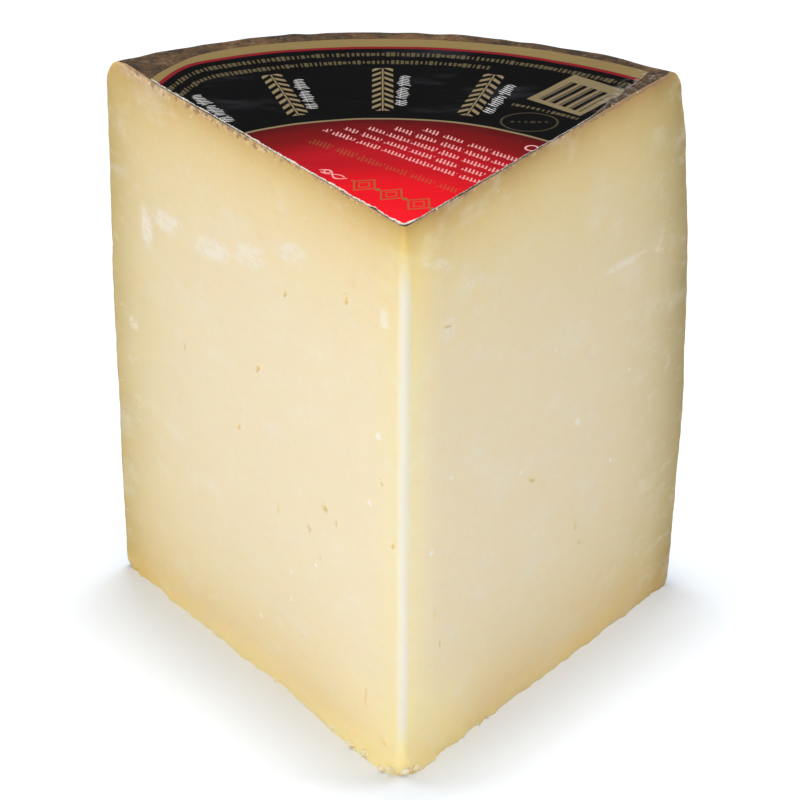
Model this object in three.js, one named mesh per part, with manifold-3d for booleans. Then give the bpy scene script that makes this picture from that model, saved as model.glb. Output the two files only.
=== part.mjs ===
// A wedge, about a fifth, cut from a small aged sheep's-milk cheese wheel.
// The cheese is one solid, paste and rind together. A thin paper label lies on its top.
//
// Millimetres, +Z up. The origin is the middle of the wedge's bounding box, on its base.
// The edge where the two knife cuts meet faces -Y, and the curved rind faces +Y.
// Until the last step everything is placed from the foot of that edge, the tip.

import * as THREE from "three";
import { mergeVertices } from "three/addons/utils/BufferGeometryUtils.js";
import Module from "manifold-3d";

// The whole wheel that the wedge was cut from.
const WHEEL_HEIGHT = 112;
const BELLY_RADIUS = 92.5; // halfway up the side
const RIM_RADIUS = 89.5; // just under the top rim, where the side leans in
const FOOT_RADIUS = 91.5; // just over the base edge
const RIM_ROUND = 5.5;
const FOOT_ROUND = 2.5;
const WHEEL_AXIS = new THREE.Vector2(-0.8, -1.5); // the wheel's axis, seen from the tip

// The two knife cuts, as angles from +Y, seen from above.
const LEFT_CUT = THREE.MathUtils.degToRad(37);
const RIGHT_CUT = THREE.MathUtils.degToRad(36.8);

// The paper label, a disc glued to the top of the wheel before it was cut.
const LABEL_RADIUS = 84.9;
const LABEL_THICKNESS = 0.3;
const LABEL_GAP = 0.2; // room left between the paper and the cheese
const LABEL_AXIS = new THREE.Vector2(-3.5, -3.7); // the label's centre, seen from the tip
const PEEL_START = 52; // along the right cut, where the paper starts to draw back
const PEEL_END = 82; // along the right cut, where it is back by its full depth
const PEEL_DEPTH = 2.8;
const WORN_START = 77.5; // along the left cut, where the paper's worn corner starts
const WORN_END = new THREE.Vector2(-38.7, 73.6); // where it meets the label's round edge

const REACH = 2 * BELLY_RADIUS; // far enough to pass the rind
const ROUND_SEGMENTS = 120; // round a full turn of the wheel
const PROFILE_STEPS = 6; // along each arc of the wheel's profile

const wasm = await Module();
wasm.setup();

/** A closed three.js geometry as a solid, with its shared corners merged. */
function toSolid(geometry) {
  const bare = geometry.clone();
  bare.deleteAttribute("normal");
  bare.deleteAttribute("uv");
  const welded = mergeVertices(bare);
  const mesh = new wasm.Mesh({
    numProp: 3,
    vertProperties: Float32Array.from(welded.attributes.position.array),
    triVerts: Uint32Array.from(welded.index.array),
  });
  return new wasm.Manifold(mesh);
}

/** A solid as a three.js geometry. */
function toGeometry(solid) {
  const mesh = solid.getMesh();
  const geometry = new THREE.BufferGeometry();
  geometry.setAttribute("position", new THREE.BufferAttribute(mesh.vertProperties, 3));
  geometry.setIndex(new THREE.BufferAttribute(mesh.triVerts, 1));
  geometry.computeVertexNormals();
  return geometry;
}

/** A profile of radius and height, turned about a vertical axis that stands at centre. */
function turned(profile, centre) {
  const geometry = new THREE.LatheGeometry(profile.getPoints(PROFILE_STEPS), ROUND_SEGMENTS);
  geometry.rotateX(Math.PI / 2);
  geometry.translate(centre.x, centre.y, 0);
  return toSolid(geometry);
}

/** An outline seen from above, as an upright prism taller than the wheel. */
function upright(outline) {
  const spare = 5;
  const geometry = new THREE.ExtrudeGeometry(new THREE.Shape(outline), {
    depth: WHEEL_HEIGHT + 2 * spare,
    bevelEnabled: false,
  });
  geometry.translate(0, 0, -spare);
  return toSolid(geometry);
}

/** The point at a distance along a cut from the tip, and a depth in from its face. */
function alongCut(angle, side, distance, depth = 0) {
  const along = new THREE.Vector2(side * Math.sin(angle), Math.cos(angle));
  const inward = new THREE.Vector2(-side * Math.cos(angle), Math.sin(angle));
  return along.multiplyScalar(distance).addScaledVector(inward, depth);
}

/** Half the wheel's cross-section, from its axis at the base round to its axis at the top. */
function wheelProfile() {
  const rimBottom = WHEEL_HEIGHT - RIM_ROUND;
  const bulge = 2 * BELLY_RADIUS - (FOOT_RADIUS + RIM_RADIUS) / 2; // puts the middle on the belly
  const profile = new THREE.Path();
  profile.moveTo(0, 0);
  profile.lineTo(FOOT_RADIUS - FOOT_ROUND, 0);
  profile.absarc(FOOT_RADIUS - FOOT_ROUND, FOOT_ROUND, FOOT_ROUND, -Math.PI / 2, 0);
  profile.quadraticCurveTo(bulge, (FOOT_ROUND + rimBottom) / 2, RIM_RADIUS, rimBottom);
  profile.absarc(RIM_RADIUS - RIM_ROUND, rimBottom, RIM_ROUND, 0, Math.PI / 2);
  profile.lineTo(0, WHEEL_HEIGHT);
  return profile;
}

/** The label's cross-section, a thin rectangle on the axis. */
function labelProfile() {
  const underside = WHEEL_HEIGHT + LABEL_GAP;
  const profile = new THREE.Path();
  profile.moveTo(0, underside);
  profile.lineTo(LABEL_RADIUS, underside);
  profile.lineTo(LABEL_RADIUS, underside + LABEL_THICKNESS);
  profile.lineTo(0, underside + LABEL_THICKNESS);
  return profile;
}

/** The wedge of cheese, between the two cuts. */
function cheeseGeometry() {
  const knife = upright([
    new THREE.Vector2(0, 0),
    alongCut(RIGHT_CUT, 1, REACH),
    alongCut(LEFT_CUT, -1, REACH),
  ]);
  return toGeometry(turned(wheelProfile(), WHEEL_AXIS).intersect(knife));
}

/** The label's share of the wedge, drawn back from the right cut and worn at the left corner. */
function labelGeometry() {
  const wornStart = alongCut(LEFT_CUT, -1, WORN_START);
  const wornRun = WORN_END.clone().sub(wornStart);
  const knife = upright([
    new THREE.Vector2(0, 0),
    alongCut(RIGHT_CUT, 1, PEEL_START),
    alongCut(RIGHT_CUT, 1, PEEL_END, PEEL_DEPTH),
    alongCut(RIGHT_CUT, 1, REACH, PEEL_DEPTH),
    wornStart.clone().addScaledVector(wornRun, REACH / wornRun.length()),
    wornStart,
  ]);
  return toGeometry(turned(labelProfile(), LABEL_AXIS).intersect(knife));
}

/** A mesh with its own material. */
function piece(name, geometry, color, roughness) {
  const material = new THREE.MeshStandardMaterial({ color, roughness, metalness: 0 });
  const mesh = new THREE.Mesh(geometry, material);
  mesh.name = name;
  return mesh;
}

const cheese = piece("cheese_wedge", cheeseGeometry(), 0xe9dab2, 0.55);
const label = piece("paper_label", labelGeometry(), 0x8e1522, 0.4);

const wedge = new THREE.Group();
wedge.name = "cheese_wheel_wedge";
wedge.add(cheese, label);

// From the tip to the middle of the wedge's box.
const middle = new THREE.Box3().setFromObject(wedge).getCenter(new THREE.Vector3());
wedge.position.set(-middle.x, -middle.y, 0);

export default wedge;
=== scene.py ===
"""The looks of a wedge cut from a small aged sheep's-milk cheese wheel.

The wedge stands on its base, with the edge between its two cuts facing -Y and the rind facing +Y.
The classes below work in millimetres from the tip, which is the foot of that edge: x to the right,
y towards the rind and z up. Meshes are turned into metres in the frame's place as the last step.
"""

import logging
import math
import random
from collections.abc import Callable, Sequence
from dataclasses import dataclass, field
from enum import Enum

import bmesh
import bpy
from mathutils import Matrix, Vector, noise


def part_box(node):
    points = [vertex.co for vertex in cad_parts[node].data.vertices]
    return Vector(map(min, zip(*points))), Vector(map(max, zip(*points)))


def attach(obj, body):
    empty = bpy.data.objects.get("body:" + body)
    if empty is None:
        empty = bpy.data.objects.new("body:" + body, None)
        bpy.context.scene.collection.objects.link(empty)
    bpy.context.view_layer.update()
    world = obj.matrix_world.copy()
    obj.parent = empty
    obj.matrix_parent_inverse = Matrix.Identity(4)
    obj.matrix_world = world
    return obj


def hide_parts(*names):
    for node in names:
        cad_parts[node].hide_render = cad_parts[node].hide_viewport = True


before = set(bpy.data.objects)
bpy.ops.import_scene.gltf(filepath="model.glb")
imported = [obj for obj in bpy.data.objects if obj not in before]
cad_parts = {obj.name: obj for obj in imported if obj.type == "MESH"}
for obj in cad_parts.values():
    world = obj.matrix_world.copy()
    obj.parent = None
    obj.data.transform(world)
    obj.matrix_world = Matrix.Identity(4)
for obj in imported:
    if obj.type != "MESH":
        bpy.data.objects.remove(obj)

LOG = logging.getLogger("cheese_wedge")
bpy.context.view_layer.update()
MM = 0.001
# How near to a cut's angle, in radians, a point counts as lying on the cut.
ON_CUT = 1e-4
# How near to the top or the base, in millimetres, a point counts as lying on it.
ON_FACE = 1e-3
# A point nearer than this to the tip's edge, in millimetres, has no angle about it.
AT_TIP = 0.02
# The label's centre, in millimetres across and back from the tip's edge.
LABEL_CENTRE = (-3.5, -3.7)
Colour = tuple[float, float, float, float]


class Cut(Enum):
    """The two faces that the knife left, seen with the tip towards the viewer."""

    LEFT = -1
    RIGHT = 1


class Zone(Enum):
    """Which skin of the cheese a face belongs to; the value is its material slot."""

    PASTE = 0
    RIND = 1


def clamp01(value: float) -> float:
    """A value held between 0 and 1."""
    return max(0.0, min(1.0, value))


def ease(low: float, high: float, value: float) -> float:
    """A smooth step from 0 at low to 1 at high."""
    t = clamp01((value - low) / (high - low))
    return t * t * (3 - 2 * t)


def srgb(red: int, green: int, blue: int) -> Colour:
    """A colour given as screen values from 0 to 255, made linear for the shaders."""

    def linear(level: int) -> float:
        """One channel."""
        share = level / 255
        return share / 12.92 if share <= 0.04045 else ((share + 0.055) / 1.055) ** 2.4

    return (linear(red), linear(green), linear(blue), 1.0)


# ---------------------------------------------------------------------------------------
# Shader maths
# ---------------------------------------------------------------------------------------


class Value:
    """A number, vector or colour inside a material, which Python's operators build upon."""

    def __init__(self, graph: "Graph", socket: bpy.types.NodeSocket) -> None:
        """Keep the socket and the graph that it belongs to."""
        self.graph = graph
        self.socket = socket

    def __add__(self, other: "Number") -> "Value":
        """self + other."""
        return self.graph.math("ADD", self, other)

    __radd__ = __add__

    def __mul__(self, other: "Number") -> "Value":
        """self * other."""
        return self.graph.math("MULTIPLY", self, other)

    __rmul__ = __mul__

    def __sub__(self, other: "Number") -> "Value":
        """self - other."""
        return self.graph.math("SUBTRACT", self, other)

    def __rsub__(self, other: "Number") -> "Value":
        """other - self."""
        return self.graph.math("SUBTRACT", other, self)

    def __truediv__(self, other: "Number") -> "Value":
        """self / other."""
        return self.graph.math("DIVIDE", self, other)

    def __pow__(self, other: "Number") -> "Value":
        """self ** other."""
        return self.graph.math("POWER", self, other)

    def __neg__(self) -> "Value":
        """-self."""
        return self.graph.math("MULTIPLY", self, -1.0)

    def __abs__(self) -> "Value":
        """The size of self."""
        return self.graph.math("ABSOLUTE", self)


Number = Value | float


class Graph:
    """A material's node tree, with one Principled shader that its values feed."""

    def __init__(self, name: str) -> None:
        """Start an empty material.

        Args:
            name: The material's name.
        """
        self.material = bpy.data.materials.new(name)
        self.material.use_nodes = True
        self.tree = self.material.node_tree
        self.tree.nodes.clear()
        self.output = self.tree.nodes.new("ShaderNodeOutputMaterial")

    def node(
        self,
        kind: str,
        settings: dict[str, object] | None = None,
        inputs: dict[str | int, object] | None = None,
    ) -> bpy.types.Node:
        """Add a node.

        Args:
            kind: The node's type.
            settings: Its properties, set before anything is linked.
            inputs: A value, a colour or a Value for each named or numbered socket.

        Returns:
            The new node.
        """
        made = self.tree.nodes.new(kind)
        for name, setting in (settings or {}).items():
            setattr(made, name, setting)
        for key, given in (inputs or {}).items():
            socket = made.inputs[key]
            if isinstance(given, Value):
                self.tree.links.new(given.socket, socket)
            else:
                socket.default_value = given
        return made

    def math(self, operation: str, *values: Number) -> Value:
        """A Math node on up to three numbers."""
        made = self.node("ShaderNodeMath", {"operation": operation}, dict(enumerate(values)))
        return Value(self, made.outputs[0])

    def vector(self, operation: str, *values: object) -> Value:
        """A Vector Math node on vectors."""
        made = self.node("ShaderNodeVectorMath", {"operation": operation}, dict(enumerate(values)))
        return Value(self, made.outputs[0])

    def stretched(self, place: Value, x: float, y: float, z: float) -> Value:
        """A place scaled along each axis, so that a pattern read there is drawn out."""
        return self.vector("MULTIPLY", place, (x, y, z))

    def length(self, x: Value, y: Value) -> Value:
        """The length of a flat vector given by its two parts."""
        return self.math("SQRT", x * x + y * y)

    def mix(self, factor: Number, first: object, second: object, blend: str = "MIX") -> Value:
        """Two colours mixed.

        Args:
            factor: 0 gives the first colour and 1 the second.
            first: The colour underneath.
            second: The colour on top.
            blend: How the second is laid on, such as MIX or MULTIPLY.

        Returns:
            The mixed colour.
        """
        made = self.node("ShaderNodeMix", {"data_type": "RGBA", "blend_type": blend})
        for index, given in ((0, factor), (6, first), (7, second)):
            if isinstance(given, Value):
                self.tree.links.new(given.socket, made.inputs[index])
            else:
                made.inputs[index].default_value = given
        return Value(self, made.outputs[2])

    def tint(self, colour: object, red: float, green: float, blue: float) -> Value:
        """A colour multiplied by another."""
        return self.mix(1.0, colour, (red, green, blue, 1.0), "MULTIPLY")

    def place(self, origin: Vector) -> Value:
        """The shaded point in millimetres from an origin that is given in the frame's metres."""
        coordinates = Value(self, self.node("ShaderNodeTexCoord").outputs["Object"])
        moved = self.vector("SUBTRACT", coordinates, tuple(origin))
        scaled = self.node("ShaderNodeVectorMath", {"operation": "SCALE"}, {0: moved, 3: 1 / MM})
        return Value(self, scaled.outputs[0])

    def split(self, vector: Value) -> tuple[Value, Value, Value]:
        """A vector's three parts."""
        made = self.node("ShaderNodeSeparateXYZ", None, {0: vector})
        return tuple(Value(self, output) for output in made.outputs)

    def join(self, x: Number, y: Number, z: Number = 0.0) -> Value:
        """Three numbers as a vector."""
        return Value(self, self.node("ShaderNodeCombineXYZ", None, {0: x, 1: y, 2: z}).outputs[0])

    def stored(self, name: str) -> Value:
        """A number stored at the mesh's points."""
        made = self.node("ShaderNodeAttribute", {"attribute_name": name})
        return Value(self, made.outputs["Fac"])

    def noise(
        self, place: Value, size: float, detail: float = 3.0, roughness: float = 0.5
    ) -> Value:
        """Soft noise from 0 to 1.

        Args:
            place: Where it is read, in millimetres.
            size: How far apart its features lie, in millimetres.
            detail: How many finer layers it has.
            roughness: How strong the finer layers are.

        Returns:
            The noise.
        """
        made = self.node(
            "ShaderNodeTexNoise",
            None,
            {"Vector": place, "Scale": 1 / size, "Detail": detail, "Roughness": roughness},
        )
        return Value(self, made.outputs[0])

    def cells(self, place: Value, size: float) -> tuple[Value, Value]:
        """Scattered cells: the distance to the nearest, and a random number for each."""
        made = self.node("ShaderNodeTexVoronoi", None, {"Vector": place, "Scale": 1 / size})
        random_colour = Value(self, made.outputs["Color"])
        chance = self.node("ShaderNodeSeparateColor", None, {0: random_colour}).outputs[0]
        return Value(self, made.outputs["Distance"]) * size, Value(self, chance)

    def chance(self, value: Value, seed: float) -> Value:
        """A random number from 0 to 1 for each whole value."""
        place = self.join(self.math("FLOOR", value), seed)
        made = self.node("ShaderNodeTexWhiteNoise", {"noise_dimensions": "2D"}, {"Vector": place})
        return Value(self, made.outputs["Value"])

    def step(self, value: Value, low: float, high: float) -> Value:
        """A smooth step, 0 below low and 1 above high, or the reverse where low is above high."""
        bottom, top, start, end = (low, high, 0.0, 1.0) if low < high else (high, low, 1.0, 0.0)
        made = self.node(
            "ShaderNodeMapRange",
            {"interpolation_type": "SMOOTHSTEP"},
            {0: value, 1: bottom, 2: top, 3: start, 4: end},
        )
        return Value(self, made.outputs[0])

    def within(self, value: Value, limit: float, soft: float = 0.1) -> Value:
        """1 where a value is nearer to 0 than limit, with a soft edge."""
        return self.step(abs(value), limit + soft, max(limit - soft, 0.0))

    def repeat(self, value: Value, period: float) -> Value:
        """The distance from the middle of each period along a row."""
        return (self.math("FRACT", value / period) - 0.5) * period

    def stripes(self, value: Value, period: float, width: float, soft: float = 0.1) -> Value:
        """Stripes of a width, one to a period, the first centred on half a period."""
        return self.within(self.repeat(value, period), width / 2, soft)

    def either(self, first: Value, *others: Number) -> Value:
        """The largest of several masks."""
        for other in others:
            first = self.math("MAXIMUM", first, other)
        return first

    def fade(self, depth: Value, reach: float) -> Value:
        """1 at the surface, falling off with depth."""
        return self.math("EXPONENT", self.math("MAXIMUM", depth, 0.0) * (-1 / reach))

    def bump(self, height: Value, strength: float = 1.0) -> Value:
        """A surface normal from a height in millimetres."""
        made = self.node(
            "ShaderNodeBump", None, {"Height": height, "Distance": MM, "Strength": strength}
        )
        return Value(self, made.outputs[0])

    def finish(self, **inputs: object) -> bpy.types.Material:
        """Feed the Principled shader.

        Args:
            **inputs: Its sockets, with an underscore for each space in a socket's name.

        Returns:
            The finished material.
        """
        named = {key.replace("_", " "): given for key, given in inputs.items()}
        shader = self.node("ShaderNodeBsdfPrincipled", None, named)
        self.tree.links.new(shader.outputs[0], self.output.inputs[0])
        return self.material


# ---------------------------------------------------------------------------------------
# The shape of the wheel and its cuts
# ---------------------------------------------------------------------------------------


@dataclass(frozen=True)
class WheelShape:
    """The wheel's outline and the two cuts, from the tip, in millimetres and degrees."""

    tip: Vector
    height: float
    left_angle: float = 36.75
    right_angle: float = 36.92
    belly_radius: float = 92.5
    rim_radius: float = 89.5
    foot_radius: float = 91.5
    rim_round: float = 5.5
    foot_round: float = 2.5
    axis: tuple[float, float] = (-0.8, -1.5)

    @classmethod
    def from_frame(cls) -> "WheelShape":
        """Read the tip's place and the cheese's height from the CAD node."""
        low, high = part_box("cheese_wedge")
        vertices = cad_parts["cheese_wedge"].data.vertices
        foremost = min(vertices, key=lambda vertex: vertex.co.y)
        return cls(tip=Vector((foremost.co.x, low.y, low.z)), height=(high.z - low.z) / MM)

    def to_frame(self) -> Matrix:
        """From millimetres off the tip to metres in the frame."""
        return Matrix.Translation(self.tip) @ Matrix.Scale(MM, 4)

    def side_radius(self, z: float) -> float:
        """The wheel's radius at a height, with its ends not yet rounded."""
        t = clamp01(z / self.height)
        bulge = 2 * self.belly_radius - (self.foot_radius + self.rim_radius) / 2
        curve = (1 - t) ** 2 * self.foot_radius + 2 * t * (1 - t) * bulge
        return curve + t * t * self.rim_radius

    def cut_angle(self, cut: Cut, z: float) -> float:
        """A cut's angle from +Y at a height; the knife leaned a little as it came down."""
        lean = 1 - 2 * z / self.height
        if cut is Cut.LEFT:
            return -math.radians(self.left_angle - 0.44 * lean)
        return math.radians(self.right_angle + 0.54 * lean)

    def swell(self, azimuth: float, z: float) -> float:
        """How far the rind stands out past a true circle round the tip.

        Args:
            azimuth: The angle from +Y in radians.
            z: The height.

        Returns:
            The distance in millimetres.
        """
        centre = self.axis[0] * math.sin(azimuth) + self.axis[1] * math.cos(azimuth)
        skew = 0.75 + 1.2 * ((z - 55) / 55) ** 2
        flat = 0.8 * ease(95, 108, z) * ease(-12, 6, math.degrees(azimuth))
        heel = 1.0 * ease(45, 0, z) * ease(10, 37, math.degrees(azimuth))
        return centre + 0.65 - skew * azimuth / math.radians(37) - flat - heel

    def outline(self, steps: int = 240) -> tuple[list[Vector], list[Vector], list[Vector]]:
        """The section's base, side and top lines, each ending halfway round a worn corner."""
        foot_centre = Vector((self.foot_radius - self.foot_round, self.foot_round))
        rim_z = self.height - self.rim_round
        rim_centre = Vector((self.side_radius(rim_z) - self.rim_round, rim_z))

        def arc(centre: Vector, radius: float, start: float, end: float) -> list[Vector]:
            """Points along an arc between two angles in degrees."""
            turns = [math.radians(start + (end - start) * i / 24) for i in range(25)]
            return [centre + radius * Vector((math.cos(a), math.sin(a))) for a in turns]

        base = [Vector((0, 0))] + arc(foot_centre, self.foot_round, -90, -45)
        side = arc(foot_centre, self.foot_round, -45, 0)
        for i in range(1, steps):
            z = self.foot_round + (rim_z - self.foot_round) * i / steps
            side.append(Vector((self.side_radius(z), z)))
        side += arc(rim_centre, self.rim_round, 0, 45)
        top = [Vector((0, self.height))] + arc(rim_centre, self.rim_round, 90, 45)
        return base, side, top


def along(line: Sequence[Vector], share: float) -> Vector:
    """The point at a share of a line's length."""
    lengths = [(b - a).length for a, b in zip(line, line[1:])]
    left = share * sum(lengths)
    for start, end, length in zip(line, line[1:], lengths):
        if left <= length or end is line[-1]:
            return start.lerp(end, clamp01(left / length))
        left -= length
    return line[-1]


def crowd(share: float, pull: float) -> float:
    """Move shares towards both ends, so that rows stand closer there."""
    return share - pull * math.sin(2 * math.pi * share) / (2 * math.pi)


def wobble(place: Vector, size: float, seed: float = 0.0) -> float:
    """Smooth noise from about -1 to 1 with features of a size in millimetres."""
    return noise.noise(place / size + Vector((seed, -seed, 0.37 * seed)))


def paper_wave(place: Vector) -> float:
    """The faint waves of the label and of the rind it is glued to."""
    waves = 0.1 * wobble(Vector((place.x * 0.5, place.y * 1.3, 0)), 9, 35)
    waves += 0.05 * wobble(Vector((place.x, place.y, 0)), 4.5, 36)
    return waves * ease(2, 14, place.xy.length) + 0.05


def round_off(s: float, half: float, radius: float) -> float:
    """How far back a point moves so that two sides meeting at the tip join in an arc.

    Args:
        s: The point's distance from the tip.
        half: Half the angle between the sides, in radians.
        radius: The arc's radius.

    Returns:
        The movement towards +Y, in millimetres.
    """
    reach = radius / math.tan(half)
    if s >= reach:
        return 0.0
    x = s * math.sin(half)
    arc = radius / math.sin(half) - math.sqrt(max(radius**2 - x**2, 0.0))
    return arc - s * math.cos(half)


def corner_rise(angle: float, s: float, z: float) -> float:
    """How far the rim stands proud at its left corner, before it falls away at the very end."""
    near_cut = ease(math.radians(-29), math.radians(-37), angle)
    return near_cut * ease(90, 108, z) * (0.5 * ease(72, 83, s) - 1.1 * ease(84, 92, s))


# ---------------------------------------------------------------------------------------
# Marks that the knife, the air and ripening left on the cuts
# ---------------------------------------------------------------------------------------


@dataclass(frozen=True)
class Eye:
    """A small hole in the paste, cut open.

    Attributes:
        u: The distance from the tip, negative on the left cut.
        v: The height.
        width: Across.
        length: Down.
        depth: Into the paste.
        turn: Degrees from upright, clockwise.
    """

    u: float
    v: float
    width: float
    length: float
    depth: float
    turn: float = 0.0


@dataclass(frozen=True)
class Scuff:
    """A dry pale patch where the knife dragged."""

    u: float
    v: float
    width: float
    height: float
    turn: float
    strength: float


EYES = (
    Eye(-34.7, 85.6, 0.8, 1.1, 0.7, 20),
    Eye(-16.4, 91.8, 0.8, 1.6, 0.9, 10),
    Eye(-44.0, 66.6, 0.8, 1.8, 0.8, 35),
    Eye(-50.9, 51.4, 0.9, 1.2, 0.8, 15),
    Eye(-6.3, 60.2, 0.7, 1.0, 0.6, -35),
    Eye(-23.4, 47.0, 1.6, 1.0, 1.0, 10),
    Eye(-19.8, 45.6, 0.7, 1.0, 0.6, -20),
    Eye(-28.5, 40.3, 0.9, 1.5, 0.8, -25),
    Eye(-25.1, 35.8, 0.6, 0.9, 0.5, 0),
    Eye(-2.8, 49.2, 0.9, 1.1, 0.6, 20),
    Eye(-11.1, 13.2, 0.5, 3.6, 0.8, 4),
    Eye(-5.6, 6.0, 1.4, 0.9, 0.8, 0),
    Eye(-68.5, 60.5, 0.6, 1.0, 0.4, 0),
    Eye(-38.2, 39.6, 0.5, 1.8, 0.4, 8),
    Eye(9.5, 31.6, 0.5, 2.2, 0.4, 0),
    Eye(11.2, 24.8, 0.6, 1.4, 0.5, 0),
    Eye(54.2, 28.9, 0.9, 1.3, 0.7, 10),
    Eye(55.8, 24.8, 1.2, 0.8, 0.6, 0),
    Eye(12.9, 88.4, 2.0, 0.5, 0.4, 15),
    Eye(39.5, 45.6, 1.8, 0.7, 0.6, 30),
    Eye(65.2, 24.0, 0.8, 1.1, 0.4, 0),
)

SCUFFS = (
    Scuff(-80.0, 80.8, 3.0, 6.0, 8, 0.9),
    Scuff(-73.0, 85.0, 8.0, 3.0, 12, 0.85),
    Scuff(-57.5, 85.4, 9.0, 3.4, 12, 0.85),
    Scuff(-46.0, 88.5, 8.5, 3.6, 20, 0.8),
    Scuff(-33.0, 94.4, 8.0, 3.2, 14, 0.7),
    Scuff(-5.6, 92.7, 1.8, 3.2, 0, 0.8),
    Scuff(-86.0, 58.2, 2.6, 2.0, 0, 0.8),
    Scuff(-36.0, 68.2, 13.0, 2.4, 18, 0.45),
    Scuff(-20.0, 74.0, 7.0, 1.6, 18, 0.4),
    Scuff(-70.0, 55.5, 12.0, 1.8, 14, 0.3),
    Scuff(9.5, 101.5, 8.0, 1.8, -28, 0.7),
    Scuff(20.0, 94.0, 7.0, 2.4, -20, 0.6),
    Scuff(13.5, 88.0, 3.6, 3.6, 0, 0.65),
    Scuff(25.0, 79.0, 8.0, 4.5, -25, 0.35),
    Scuff(68.0, 78.8, 11.0, 1.3, -3, 0.7),
    Scuff(79.5, 78.5, 3.4, 4.2, 0, 0.6),
    Scuff(65.3, 88.0, 2.8, 1.6, 0, 0.5),
    Scuff(55.0, 60.0, 9.0, 7.0, 0, 0.2),
)


@dataclass(frozen=True)
class Tint:
    """How the paste's colour changes near a skin: a multiplier that fades with depth. Some of them also
    paint light: they brighten the foot, and darken the right cut near its rind and top.
    """

    skin: str
    reach: float
    left: tuple[float, float, float]
    right: tuple[float, float, float]


TINTS = (
    # Where a right value is darker than its left one, it is partly the paste's colour and partly painted
    # shade for the light falling off across the right cut.
    Tint("side", 6.0, (0.76, 0.76, 0.66), (0.76, 0.76, 0.66)),
    Tint("side", 17.0, (0.93, 0.88, 0.67), (0.87, 0.81, 0.57)),
    Tint("side", 8.0, (0.9, 0.87, 0.75), (0.68, 0.67, 0.62)),
    Tint("top", 3.2, (0.84, 0.76, 0.66), (0.84, 0.76, 0.66)),
    Tint("top", 14.0, (0.985, 0.87, 0.46), (0.985, 0.87, 0.26)),
    Tint("top", 5.0, (0.8, 0.72, 0.66), (0.66, 0.57, 0.9)),
    # The foot's tints make it golden and brighter than the heart; the brightening, mostly from the last
    # one, is painted light standing in for bounce from the pale floor.
    Tint("base", 8.0, (1.0, 0.86, 1.0), (1.0, 0.84, 1.0)),
    Tint("base", 10.0, (1.0, 1.0, 0.5), (1.0, 1.0, 0.5)),
    Tint("base", 2.6, (1.45, 1.42, 1.6), (1.38, 1.32, 1.4)),
)

# Each pale crystal's distance from the tip, negative on the left cut, its height and its radius.
FLECKS = (
    (-7.2, 69.2, 0.95),
    (-34.4, 28.1, 0.6),
    (-34.6, 21.9, 0.55),
    (-45.0, 12.8, 0.6),
    (-9.9, 54.6, 0.7),
    (-26.5, 33.5, 0.5),
    (53.7, 51.5, 0.9),
    (36.0, 48.8, 0.6),
    (14.5, 57.7, 0.5),
    (8.4, 45.0, 0.7),
    (65.6, 37.9, 0.6),
    (9.0, 20.0, 0.5),
    (46.0, 70.0, 0.5),
    (71.0, 55.0, 0.5),
)


# ---------------------------------------------------------------------------------------
# Finishes
# ---------------------------------------------------------------------------------------


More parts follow.
